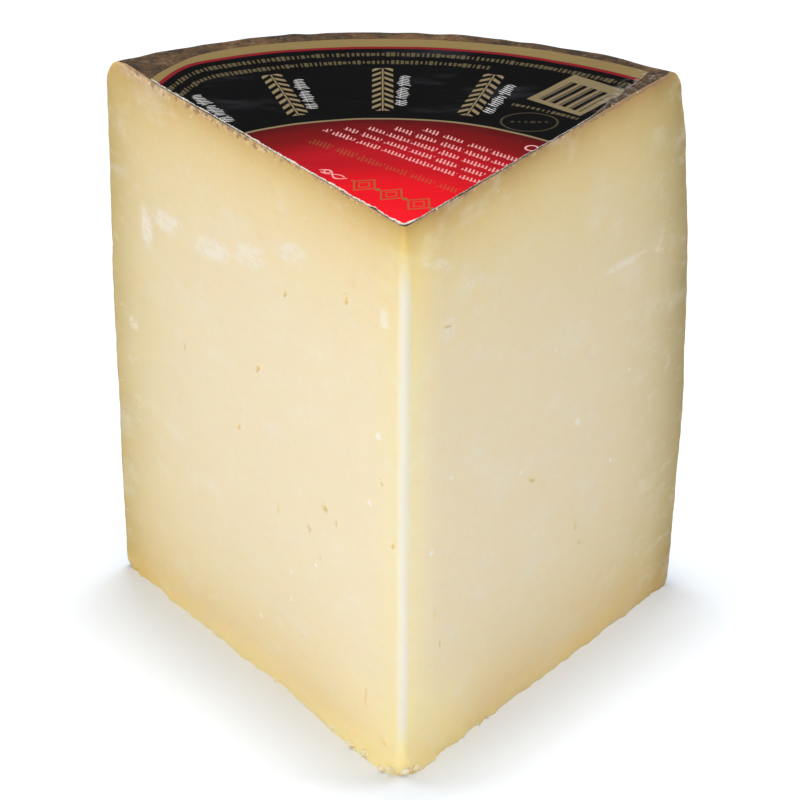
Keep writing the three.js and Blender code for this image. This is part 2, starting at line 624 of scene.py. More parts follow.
@dataclass(frozen=True)
class PasteFinish:
    """The ivory paste of the cuts, golden and olive towards the rind."""

    shape: WheelShape
    heart: Colour = (0.868, 0.722, 0.478, 1.0)
    dry: Colour = (0.87, 0.81, 0.68, 1.0)
    honey: Colour = (0.86, 0.58, 0.2, 1.0)
    crust: Colour = (0.27, 0.17, 0.09, 1.0)

    def patch(self, graph: Graph, u: Value, v: Value, scuff: Scuff) -> Value:
        """A soft oval mask in a cut's own plane.

        Args:
            graph: The material's graph.
            u: The distance from the tip, negative on the left cut.
            v: The height.
            scuff: The patch.

        Returns:
            A mask from 0 outside to the scuff's strength at its middle.
        """
        turn = math.radians(scuff.turn)
        du, dv = u - scuff.u, v - scuff.v
        across = (du * math.cos(turn) + dv * math.sin(turn)) / scuff.width
        up = (dv * math.cos(turn) - du * math.sin(turn)) / scuff.height
        return graph.step(graph.length(across, up), 1.25, 0.25) * scuff.strength

    def tinted(self, graph: Graph, point: Value, rind_depth: Value) -> Value:
        """The paste's colour before marks, darker and warmer near each skin, with painted light: brighter
        at the foot and darker near the rind and top on the right cut.
        """
        x, _, z = graph.split(point)
        right = graph.step(x, -0.6, 0.6)
        sway = (graph.noise(point, 22, 2) - 0.5) * 6
        corner = graph.step(rind_depth, 9.0, 1.0) * 3.0
        top = self.shape.height - z + sway * 0.5 + corner
        depths = {"side": rind_depth + sway, "top": top, "base": z + sway * 0.3}
        colour: object = self.heart
        for tint in TINTS:
            shade = graph.mix(right, (*tint.left, 1.0), (*tint.right, 1.0))
            tinted = graph.mix(1.0, colour, shade, "MULTIPLY")
            colour = graph.mix(graph.fade(depths[tint.skin], tint.reach), colour, tinted)
        return colour

    def build(self) -> bpy.types.Material:
        """Make the material."""
        graph = Graph("paste")
        point = graph.place(self.shape.tip)
        x, y, z = graph.split(point)
        s = graph.length(x, y)
        u = s * graph.math("SIGN", x)
        rind_depth = graph.stored("rind_depth")
        flat = graph.stretched(point, 1.0, 1.0, 1.7)
        curd = graph.noise(flat, 3.6, 3, 0.6)
        grain = graph.noise(point, 1.3, 3, 0.6)

        colour = self.tinted(graph, point, rind_depth)
        colour = self.clouded(graph, colour, flat, curd, z)
        scuffed = graph.either(*(self.patch(graph, u, z, scuff) for scuff in SCUFFS))
        ragged = graph.noise(flat, 2.8, 5, 0.7)
        bloom = scuffed * graph.step(ragged + scuffed * 0.3, 0.56, 0.8)
        colour = graph.mix(bloom * 0.85 + scuffed * 0.12, colour, (0.9, 0.81, 0.66, 1))
        colour = self.speckled(graph, colour, point, flat, grain, u, z)
        colour = self.near_tip_painted_light_and_tone(graph, colour, point, x, z, s)
        colour = self.crusted(graph, colour, point, rind_depth, u, z, s)

        pores = graph.noise(point, 0.45, 2, 0.6)
        height = curd * 0.14 + grain * 0.08 + pores * 0.02 + bloom * graph.noise(point, 0.8, 3) * 0.12
        return graph.finish(
            Base_Color=colour,
            Roughness=0.42 + grain * 0.14 + bloom * 0.18,
            Normal=graph.bump(height, 0.7),
            Subsurface_Weight=0.4,
            Subsurface_Radius=(1.0, 0.62, 0.3),
            Subsurface_Scale=0.004,
            Specular_IOR_Level=0.3,
        )

    def clouded(self, graph: Graph, colour: Value, flat: Value, curd: Value, z: Value) -> Value:
        """Add dry pale clouds and faint painted shade in the curd's low hollows."""
        clouds = graph.noise(flat, 13, 4, 0.62)
        colour = graph.mix(graph.step(clouds, 0.5, 0.72) * 0.25, colour, self.dry)
        colour = graph.mix(graph.step(curd, 0.45, 0.28) * 0.2, colour, graph.tint(colour, 0.95, 0.88, 0.72))
        pale = graph.step(graph.noise(flat, 5.5, 3, 0.6), 0.58, 0.74) * 0.2
        return graph.mix(pale * graph.step(z, 103.0, 92.0), colour, self.dry)

    def speckled(
        self, graph: Graph, colour: Value, point: Value, flat: Value, grain: Value, u: Value, z: Value
    ) -> Value:
        """Add pale crystals, honey-coloured slits and the golden walls of the eyes.

        Args:
            graph: The material's graph.
            colour: The paste so far.
            point: The shaded point.
            flat: The same, drawn out for patterns.
            grain: Fine noise.
            u: The distance from the tip, negative on the left cut.
            z: The height.

        Returns:
            The colour.
        """
        specks, speck_chance = graph.cells(flat, 4.2)
        crystals = graph.step(specks + (grain - 0.5) * 0.5, 0.5, 0.15)
        crystals = crystals * graph.step(speck_chance, 0.72, 0.8) * 0.6
        for fleck_u, fleck_v, radius in FLECKS:
            du, dv = u - fleck_u, z - fleck_v
            spread = graph.math("SQRT", du * du + dv * dv * 1.3) + (grain - 0.5) * 1.1
            crystals = graph.either(crystals, graph.step(spread, radius * 1.15, radius * 0.5))
        slots, slot_chance = graph.cells(point, 5.3)
        slits = graph.step(slots, 0.5, 0.15) * graph.step(slot_chance, 0.84, 0.9)
        colour = graph.mix(slits * 0.25, colour, self.honey)
        colour = graph.mix(crystals * 0.65, colour, (0.92, 0.88, 0.8, 1))
        eye = graph.stored("eye")
        return graph.mix(graph.step(eye, 0.05, 0.8) * 0.7, colour, (0.92, 0.68, 0.28, 1))

    def near_tip_painted_light_and_tone(self, graph: Graph, colour: Value, point: Value, x: Value, z: Value, s: Value) -> Value:
        """Paint light on the right cut near the tip and on the foot beside the tip, tint the paste
        yellow-green down the edge, and pale the strip along the edge itself.
        """
        on_right = graph.step(x, -0.6, 0.6)
        # Painted light: the right cut is brighter near the tip, and both cuts at the foot beside the tip,
        # standing in for light that falls off away from the tip and bounces up from the floor.
        flank_light = graph.step(s, 13.0, 3.0) * on_right * (graph.step(z, 92.0, 108.0) * 0.6 + 0.6)
        flank_light = flank_light + graph.step(s, 32.0, 4.0) * graph.step(z, 24.0, 5.0) * (on_right * 0.7 + 0.6)
        colour = graph.mix(graph.math("MINIMUM", flank_light, 1.3), colour, graph.tint(colour, 1.13, 1.14, 1.06))
        drift = (graph.noise(graph.stretched(point, 1.0, 1.0, 0.3), 4.0, 2) - 0.5) * 0.9
        green = graph.step(abs(x + 0.4 + drift), 5.5, 0.8) * graph.step(z, 4.0, 12.0)
        colour = graph.mix(green * 0.8, colour, graph.tint(colour, 0.985, 1.02, 0.89))
        # The pale strip down the tip's edge is partly the dry worn edge and partly a painted highlight on
        # its rounded edge.
        edge = graph.step(abs(x - 0.15 + drift), 1.5, 0.3) * graph.step(s, 3.0, 2.0)
        edge = edge * graph.step(z, 6.0, 13.0) * graph.step(z, 108.0, 98.0)
        return graph.mix(edge * 0.8, colour, (0.84, 0.79, 0.69, 1))

    def crusted(
        self, graph: Graph, colour: Value, point: Value, rind_depth: Value, u: Value, z: Value, s: Value
    ) -> Value:
        """Add the stains and the broken brown line under the label, which is partly the thin rind seen
        edge-on and partly painted shade under the label's edge, and the rind's inner edge.

        Args:
            graph: The material's graph.
            colour: The paste so far.
            point: The shaded point.
            rind_depth: The distance in from the rind.
            u: The distance from the tip, negative on the left cut.
            z: The height.
            s: The distance from the tip.

        Returns:
            The colour.
        """
        skin = graph.noise(point, 1.5, 3, 0.65)
        depth_top = self.shape.height - z
        flavour = graph.noise(point, 1.1, 2, 0.5)
        stain = graph.mix(graph.step(flavour, 0.4, 0.6), (0.34, 0.16, 0.06, 1), (0.88, 0.6, 0.33, 1))
        colour = graph.mix(self.stains(graph, u, depth_top, skin), colour, stain)
        reach = (skin - 0.5) * 2.6 + graph.step(u, 45.0, 62.0) * 0.7
        # The dark line just under the label: partly the thin rind seen edge-on, partly painted shade under
        # the label's edge.
        rind_line_and_shade = graph.step(depth_top - reach, 0.3, 0.0) * graph.step(s, 2.0, 5.0)
        colour = graph.mix(rind_line_and_shade * 0.65, colour, self.crust)
        outer = graph.step(rind_depth - (skin - 0.5) * 1.0, 0.45, 0.1)
        return graph.mix(outer * 0.6, colour, self.crust)

    def stains(self, graph: Graph, u: Value, depth: Value, skin: Value) -> Value:
        """Orange-brown spots just under the label, most of them well out on the left cut."""
        spots = graph.step(skin, 0.44, 0.57)
        outer_left = graph.within(u + 60.0, 26.0, 9.0)
        inner_left = graph.within(u + 20.0, 14.0, 4.0) * graph.step(depth, 1.0, 0.2)
        left = graph.either(outer_left * graph.step(depth - skin * 2.6, 0.7, -0.9), inner_left * 0.7)
        right = graph.step(u, 4.0, 9.0) * graph.step(depth, 1.1, 0.2) * 0.6
        return spots * graph.either(left, right) * 0.85


@dataclass(frozen=True)
class MatWeave:
    """The plaited grass mat that the wheel was pressed in, as printed on its side."""

    row_height: float = 10.4
    pitch: float = 5.2
    slant: float = 1.5
    depth: float = 0.32

    def height(self, arc: float, z: float) -> float:
        """The print's height, from 0 in its grooves to 1 on its ribs.

        Args:
            arc: The distance round the wheel.
            z: The height on the side.

        Returns:
            The height as a share.
        """
        row, share = divmod(z / self.row_height, 1.0)
        way = 1 if int(row) % 2 else -1
        rib = 0.5 + 0.5 * math.cos(2 * math.pi * (arc / self.pitch + way * self.slant * (share - 0.5)))
        return rib**0.7 * ease(0.0, 0.16, min(share, 1 - share))

    def shade(self, graph: Graph, arc: Value, z: Value) -> Value:
        """The same print as a shader value."""
        rows = z / self.row_height
        share = graph.math("FRACT", rows)
        way = graph.step(graph.math("FRACT", rows * 0.5), 0.499, 0.501) * 2 - 1
        turn = (arc / self.pitch + way * (share - 0.5) * self.slant) * (2 * math.pi)
        rib = (graph.math("COSINE", turn) * 0.5 + 0.5) ** 0.7
        nearest = graph.math("MINIMUM", share, 1 - share)
        return rib * graph.step(nearest, 0.0, 0.16)


@dataclass(frozen=True)
class RindFinish:
    """The rough brown rind, with pale bloom on its ribs and painted shade in its grooves."""

    shape: WheelShape
    weave: MatWeave
    brown: Colour = srgb(70, 53, 35)
    dark: Colour = srgb(38, 28, 19)
    tan: Colour = srgb(112, 80, 45)
    bloom: Colour = srgb(124, 107, 86)

    def build(self) -> bpy.types.Material:
        """Make the material."""
        graph = Graph("rind")
        point = graph.place(self.shape.tip)
        x, y, z = graph.split(point)
        arc = graph.math("ARCTAN2", x - self.shape.axis[0], y - self.shape.axis[1])
        weave = self.weave.shade(graph, arc * self.shape.belly_radius, z)
        on_side = graph.stored("mat_print")
        print_height = weave * on_side + (1 - on_side) * 0.6

        blotch = graph.noise(point, 14, 4, 0.6)
        mottle = graph.noise(point, 3.5, 4, 0.65)
        fine = graph.noise(point, 0.9, 4, 0.7)
        colour = graph.mix(graph.step(blotch, 0.35, 0.7), self.brown, self.tan)
        colour = graph.mix(graph.step(mottle, 0.55, 0.35) * 0.75, colour, self.dark)
        # Painted shade: darker where the mat's print is low, in its grooves.
        colour = graph.mix((1 - print_height) * 0.65, colour, self.dark)
        dust = graph.step(fine + print_height * 0.18 + blotch * 0.2, 0.72, 0.9)
        colour = graph.mix(dust * 0.55, colour, self.bloom)
        torn = graph.stored("paper_trace")
        fibres = graph.step(graph.noise(point, 1.3, 4, 0.75), 0.48, 0.66) * torn
        colour = graph.mix(torn * 0.55, colour, self.dark)
        colour = graph.mix(fibres * 0.5, colour, srgb(150, 140, 130))
        height = print_height * 0.25 + mottle * 0.5 + fine * 0.28
        return graph.finish(
            Base_Color=colour,
            Roughness=0.72 + fine * 0.2,
            Normal=graph.bump(height, 0.8),
            Specular_IOR_Level=0.3,
        )


@dataclass(frozen=True)
class LabelPrint:
    """The printed face of the label: plain rings and generic ornament, with no lettering.

    Lengths are in millimetres from the label's own centre. The ornament on the red disc and
    the hatched panel follow the print's own directions, which stand askew to the wedge.
    """

    shape: WheelShape
    centre: tuple[float, float] = LABEL_CENTRE
    print_turn: float = 38.9
    disc_radius: float = 47.5
    line_radius: float = 79.9
    black: Colour = srgb(5, 5, 6)
    gold: Colour = srgb(124, 110, 82)
    dull_gold: Colour = srgb(96, 86, 62)
    border: Colour = srgb(125, 106, 68)
    white: Colour = srgb(200, 198, 196)
    pink: Colour = srgb(232, 176, 172)

    def build(self) -> bpy.types.Material:
        """Make the material."""
        graph = Graph("label_print")
        point = graph.place(self.shape.tip)
        tip_x, tip_y, _ = graph.split(point)
        x, y = tip_x - self.centre[0], tip_y - self.centre[1]
        azimuth = graph.math("ARCTAN2", x, y) * (180 / math.pi)
        true_radius = graph.length(x, y)
        worn = graph.math("SMOOTH_MAX", -azimuth - 27.0, 0.0, 4.0) * 0.88
        radius = true_radius + worn

        colour = graph.mix(
            graph.step(true_radius, self.disc_radius + 0.15, self.disc_radius - 0.15),
            self.black,
            self.disc_shade(graph, true_radius),
        )
        # Painted sheen: pale grey streaks on the black ring stand in for reflections off its creases.
        sheen = graph.noise(graph.stretched(point, 0.45, 1.0, 1.0), 10.0, 3, 0.6)
        on_ring = graph.step(true_radius, self.disc_radius, self.disc_radius + 1.0)
        colour = graph.mix(graph.step(sheen, 0.54, 0.7) * on_ring * 0.35, colour, srgb(52, 53, 58))
        for mask, ink in self.ring_ornament(graph, tip_x, tip_y, radius, true_radius, azimuth):
            colour = graph.mix(mask, colour, ink)
        for mask, ink in self.disc_ornament(graph, tip_x, tip_y, true_radius):
            colour = graph.mix(mask, colour, ink)
        on_border = graph.step(radius, self.line_radius + 0.3, self.line_radius + 0.8)
        colour = graph.mix(on_border, colour, self.border)
        on_line = graph.within(radius - self.line_radius, 0.5, 0.15)
        colour = graph.mix(on_line, colour, srgb(118, 22, 32))

        edge = graph.stored("paper_edge")
        fray = graph.noise(point, 0.8, 4, 0.75)
        at_tip = graph.step(graph.length(tip_x, tip_y), 5.0, 2.5)
        on_right = graph.step(tip_x, 0.5, 2.0)
        breaks = graph.noise(point, 4.5, 2, 0.6)
        width = (fray - 0.36) * 0.95 + (breaks - 0.5) * 0.7 - on_right * 0.12 + at_tip * 0.3
        torn = graph.step(edge - width, 0.08, -0.08)
        paper = graph.mix(on_right * (1 - at_tip), srgb(205, 196, 186), srgb(150, 116, 100))
        colour = graph.mix(torn, colour, paper)
        rubbed = graph.stored("paper_rubbed") * graph.step(graph.noise(point, 1.4, 4, 0.7), 0.45, 0.65)
        colour = graph.mix(rubbed * 0.6, colour, srgb(150, 142, 134))

        dust = graph.noise(point, 5.0, 4, 0.6)
        return graph.finish(
            Base_Color=colour,
            Roughness=0.3 + dust * 0.12 + torn * 0.3,
            Normal=graph.bump(self.wrinkles(graph, point), 0.8),
            Specular_IOR_Level=0.16,
        )

    def wrinkles(self, graph: Graph, point: Value) -> Value:
        """The paper's low creases, in millimetres; most of them run across the wedge."""
        ridges = graph.noise(graph.stretched(point, 0.35, 1.0, 1.0), 7.0, 2, 0.5)
        crease = graph.step(abs(ridges - 0.5), 0.05, 0.0)
        return ridges * 0.7 + crease * 0.05 + graph.noise(point, 1.6, 3) * 0.04

    def disc_shade(self, graph: Graph, radius: Value) -> Value:
        """The disc's red, bright at the middle and maroon at its rim."""
        shades = (
            (5.0, srgb(216, 22, 34)),
            (17.0, srgb(206, 15, 27)),
            (32.0, srgb(158, 16, 26)),
            (42.5, srgb(102, 13, 15)),
            (self.disc_radius, srgb(74, 12, 13)),
        )
        colour: object = shades[0][1]
        for (inner, _), (outer, shade) in zip(shades, shades[1:]):
            colour = graph.mix(graph.step(radius, inner, outer), colour, shade)
        return colour

    def spokes(self, graph: Graph, radius: Value, azimuth: Value) -> tuple[Value, Value]:
        """Ears of grain in gold, each with a line of white stitches beside it, set like spokes.

        Args:
            graph: The material's graph.
            radius: The distance from the label's centre.
            azimuth: The angle round it, in degrees from +Y.

        Returns:
            The gold mask and the white mask.
        """
        spacing, first, limit = 16.9, -0.4, 22.5

        def spoke(offset: float) -> tuple[Value, Value]:
            """Places across and along the nearest spoke, which starts some degrees round."""
            turns = (azimuth - (first + offset)) / spacing + 0.5
            local = (graph.math("FRACT", turns) - 0.5) * math.radians(spacing)
            return radius * graph.math("SINE", local), radius * graph.math("COSINE", local)

        across, out = spoke(0.0)
        span = graph.within(out - 60.6, 9.6)
        leaves = graph.stripes(out + abs(across) * 0.9, 2.4, 1.1)
        outline = graph.within(across, 1.9) * (1 - graph.within(across, 0.3, 0.1))
        stem = graph.within(across, 0.15, 0.08)
        gold = span * graph.either(outline * leaves, stem)

        across, out = spoke(3.5)
        span = graph.within(out - 60.0, 6.8)
        white = self.stitches(graph, out, across, 1.75, 14.0)
        here = graph.step(azimuth, limit, limit - 0.5)
        return gold * here, span * white * here * 0.9

    def bars(
        self, graph: Graph, run: Value, offset: Value, pitch: float, height: float, seed: float
    ) -> Value:
        """A row of small bars of uneven length and height, like a worn border.

        Args:
            graph: The material's graph.
            run: The distance along the row.
            offset: The distance from its middle line.
            pitch: How far apart the bars start.
            height: How tall they are at most.
            seed: Gives each row its own lengths.

        Returns:
            The mask.
        """
        luck = graph.chance(run / pitch, seed)
        local = graph.repeat(run, pitch)
        bar = graph.step(abs(local) - (luck * 0.28 + 0.16) * pitch, 0.1, -0.1)
        tall = (graph.chance(run / pitch, seed + 40.0) * 0.4 + 0.6) * (height / 2)
        return bar * graph.step(abs(offset) - tall, 0.16, -0.16)

    def stitches(
        self, graph: Graph, run: Value, offset: Value, height: float, seed: float
    ) -> Value:
        """A row of small slanted strokes in groups, like a line of stitching."""
        stroke_pitch, group_pitch = 0.78, 5.6
        slanted = run + offset * 0.45
        strokes = graph.stripes(slanted, stroke_pitch, 0.26, 0.12)
        tall = (graph.chance(slanted / stroke_pitch, seed + 20.0) * 0.35 + 0.4) * height
        luck = graph.chance(run / group_pitch, seed)
        local = graph.repeat(run, group_pitch)
        group = graph.step(abs(local) - luck * 0.8, 2.1, 1.9)
        line = graph.within(offset + 0.35, 0.08, 0.1) * 0.6
        return graph.either(strokes * graph.step(abs(offset) - tall, 0.16, -0.16), line) * group

    def lozenges(self, graph: Graph, run: Value, offset: Value) -> Value:
        """A row of large outlined lozenges, each with a small one inside and a dot between."""
        pitch = 5.9
        local = graph.repeat(run, pitch)
        size = abs(local) / 2.5 + abs(offset) / 3.0
        dots = graph.step(graph.length(pitch / 2 - abs(local), offset), 0.6, 0.4)
        outer_line = graph.within(size - 0.9, 0.07, 0.05)
        inner_line = graph.within(size - 0.45, 0.05, 0.05)
        return graph.either(outer_line, inner_line, dots)

    def turned(self, x: Number, y: Number) -> tuple[Number, Number]:
        """A place in the print's own directions: along its rows, and up across them."""
        turn = math.radians(self.print_turn)
        return x * math.cos(turn) - y * math.sin(turn), x * math.sin(turn) + y * math.cos(turn)

    def ring_ornament(
        self,
        graph: Graph,
        tip_x: Value,
        tip_y: Value,
        radius: Value,
        true_radius: Value,
        azimuth: Value,
    ) -> list[tuple[Value, Colour]]:
        """Everything printed on the black ring.

        Args:
            graph: The material's graph.
            tip_x: Across, from the tip.
            tip_y: Back, from the tip.
            radius: From the label's centre, drawn in at its worn corner.
            true_radius: From the label's centre.
            azimuth: Round the label's centre, in degrees.

        Returns:
            Masks with their inks.
        """
        run, rise = self.turned(tip_x, tip_y)
        gold, white = self.spokes(graph, true_radius, azimuth)
        gold = graph.either(gold, graph.within(true_radius - self.disc_radius, 0.3, 0.12))

        panel_run, panel_rise = self.turned(31.0, 54.6)
        across, up = run - panel_run, rise - panel_rise
        panel = graph.within(across, 5.9) * graph.within(up, 7.2)
        inside = graph.within(across, 5.0) * graph.within(up + 0.8, 5.0)
        wide, thin = graph.stripes(across, 2.2, 0.95), graph.stripes(across + 0.85, 2.2, 0.25)
        hatch = graph.either(wide, thin) * inside
        gold = graph.either(gold, panel * (1 - hatch) * 0.9)

        ring_x, ring_y = tip_x - 22.0, tip_y - 42.6
        oval = graph.math("SQRT", ring_x * ring_x + ring_y * ring_y * 1.6)
        dull = graph.within(oval - 5.0, 0.16, 0.14) * 0.5
        motif = self.bars(graph, ring_x, ring_y, 1.2, 0.9, 4.0) * graph.step(oval, 4.0, 3.6)
        arc = azimuth * (math.pi / 180 * 76)
        outer = self.bars(graph, arc, radius - 76.6, 0.92, 1.9, 0.0)
        inner = self.bars(graph, arc, radius - 73.0, 0.92, 1.9, 1.0) * graph.step(azimuth, 15.5, 15.0)
        border = graph.either(outer, inner)
        beside = azimuth - 29.2
        line = self.bars(graph, beside * 1.02, true_radius - 58.6, 1.0, 1.2, 6.0)
        dull = graph.either(dull, motif * 0.3, border * 0.72, line * graph.within(beside, 6.4) * 0.8)
        return [(dull, self.dull_gold), (gold, self.gold), (white, self.white)]

    def disc_ornament(
        self, graph: Graph, tip_x: Value, tip_y: Value, true_radius: Value
    ) -> list[tuple[Value, Colour]]:
        """Everything printed on the red disc.

        Args:
            graph: The material's graph.
            tip_x: Across, from the tip.
            tip_y: Back, from the tip.
            true_radius: From the label's centre.

        Returns:
            Masks with their inks.
        """
        run, rise = self.turned(tip_x, tip_y)
        lines = []
        for row in range(5):
            line = self.stitches(graph, run + 1.7 * row, rise - (21.4 + 2.79 * row), 1.15, row)
            start = -35.2 + 2.2 * row + 0.3 * row * row
            lines.append(line * graph.step(run, start - 0.3, start))
        rows = graph.either(*lines)
        small = self.stitches(graph, run + 0.9, rise - 16.3, 1.5, 9.0) * graph.step(run, -34.8, -34.4)
        large = self.lozenges(graph, run + 0.6, rise - 8.2) * graph.step(run, -18.2, -17.9)
        gold = graph.either(small * 0.45, large * 0.85) * graph.step(true_radius, 46.0, 45.5)

        sweep = graph.math("SINE", (run + 25.2) * (2 * math.pi / 5.8))
        flourish = graph.either(
            graph.within(rise - 8.1 - sweep, 0.16, 0.16) * graph.within(run + 22.2, 3.0),
            graph.within(rise - 8.1 + sweep * 0.55, 0.1, 0.14) * graph.within(run + 22.2, 2.4),
            graph.within(graph.length(run + 23.7, rise - 8.5) - 0.6, 0.1, 0.12),
            graph.within(graph.length(run + 2.5, rise - 38.2) - 1.1, 0.16, 0.14),
        )
        return [(gold, srgb(120, 96, 52)), (rows * 0.8, self.pink), (flourish * 0.85, self.pink)]


@dataclass(frozen=True)
class PaperCoreFinish:
    """The label's white paper, where the knife or a tear shows it."""

    shape: WheelShape

    def build(self) -> bpy.types.Material:
        """Make the material."""
        graph = Graph("paper_core")
        point = graph.place(self.shape.tip)
        fibres = graph.noise(point, 0.5, 3, 0.7)
        colour = graph.mix(graph.step(fibres, 0.6, 0.35), srgb(240, 238, 232), srgb(176, 160, 140))
        return graph.finish(Base_Color=colour, Roughness=0.85, Normal=graph.bump(fibres * 0.1))


@dataclass(frozen=True)
class CrumbFinish:
    """Dry crumbs of paste, pale on the floor and browner along the label."""

    shape: WheelShape

    def build(self) -> bpy.types.Material:
        """Make the material."""
        graph = Graph("crumb")
        point = graph.place(self.shape.tip)
        _, _, z = graph.split(point)
        tone = graph.step(graph.noise(point, 2.5, 3), 0.35, 0.65)
        grain = graph.noise(point, 0.35, 3)
        at_foot = graph.step(z, 60.0, 20.0)
        dull = graph.mix(tone, (0.5, 0.3, 0.13, 1), (0.86, 0.68, 0.42, 1))
        fresh = graph.mix(tone, (0.98, 0.83, 0.5, 1), (0.99, 0.9, 0.66, 1))
        return graph.finish(
            Base_Color=graph.mix(at_foot, dull, fresh),
            Roughness=0.55 + grain * 0.2,
            Normal=graph.bump(grain * 0.12),
            Subsurface_Weight=0.15,
            Subsurface_Radius=(1.0, 0.62, 0.3),
            Subsurface_Scale=0.001,
        )


# ---------------------------------------------------------------------------------------
# Pieces
# ---------------------------------------------------------------------------------------


def add_object(name: str, data: bpy.types.ID | None) -> bpy.types.Object:
    """Put a mesh, a light or a camera in the scene."""
    made = bpy.data.objects.new(name, data)
    bpy.context.scene.collection.objects.link(made)
    return made


def crisp_borders(bm: bmesh.types.BMesh) -> None:
    """Keep the edges sharp where two finishes meet."""
    for edge in bm.edges:
        edge.smooth = len({face.material_index for face in edge.link_faces}) < 2


def settle(
    bm: bmesh.types.BMesh,
    name: str,
    shape: WheelShape,
    materials: Sequence[bpy.types.Material],
) -> bpy.types.Object:
    """Turn a bmesh into an object in its place in the frame.

    Args:
        bm: The piece, in millimetres from the tip. It is freed.
        name: The object's name.
        shape: Gives the tip's place.
        materials: The object's material slots.

    Returns:
        The object.
    """
    bmesh.ops.transform(bm, matrix=shape.to_frame(), verts=bm.verts)
    mesh = bpy.data.meshes.new(name)
    bm.to_mesh(mesh)
    bm.free()
    for material in materials:
        mesh.materials.append(material)
    return add_object(name, mesh)


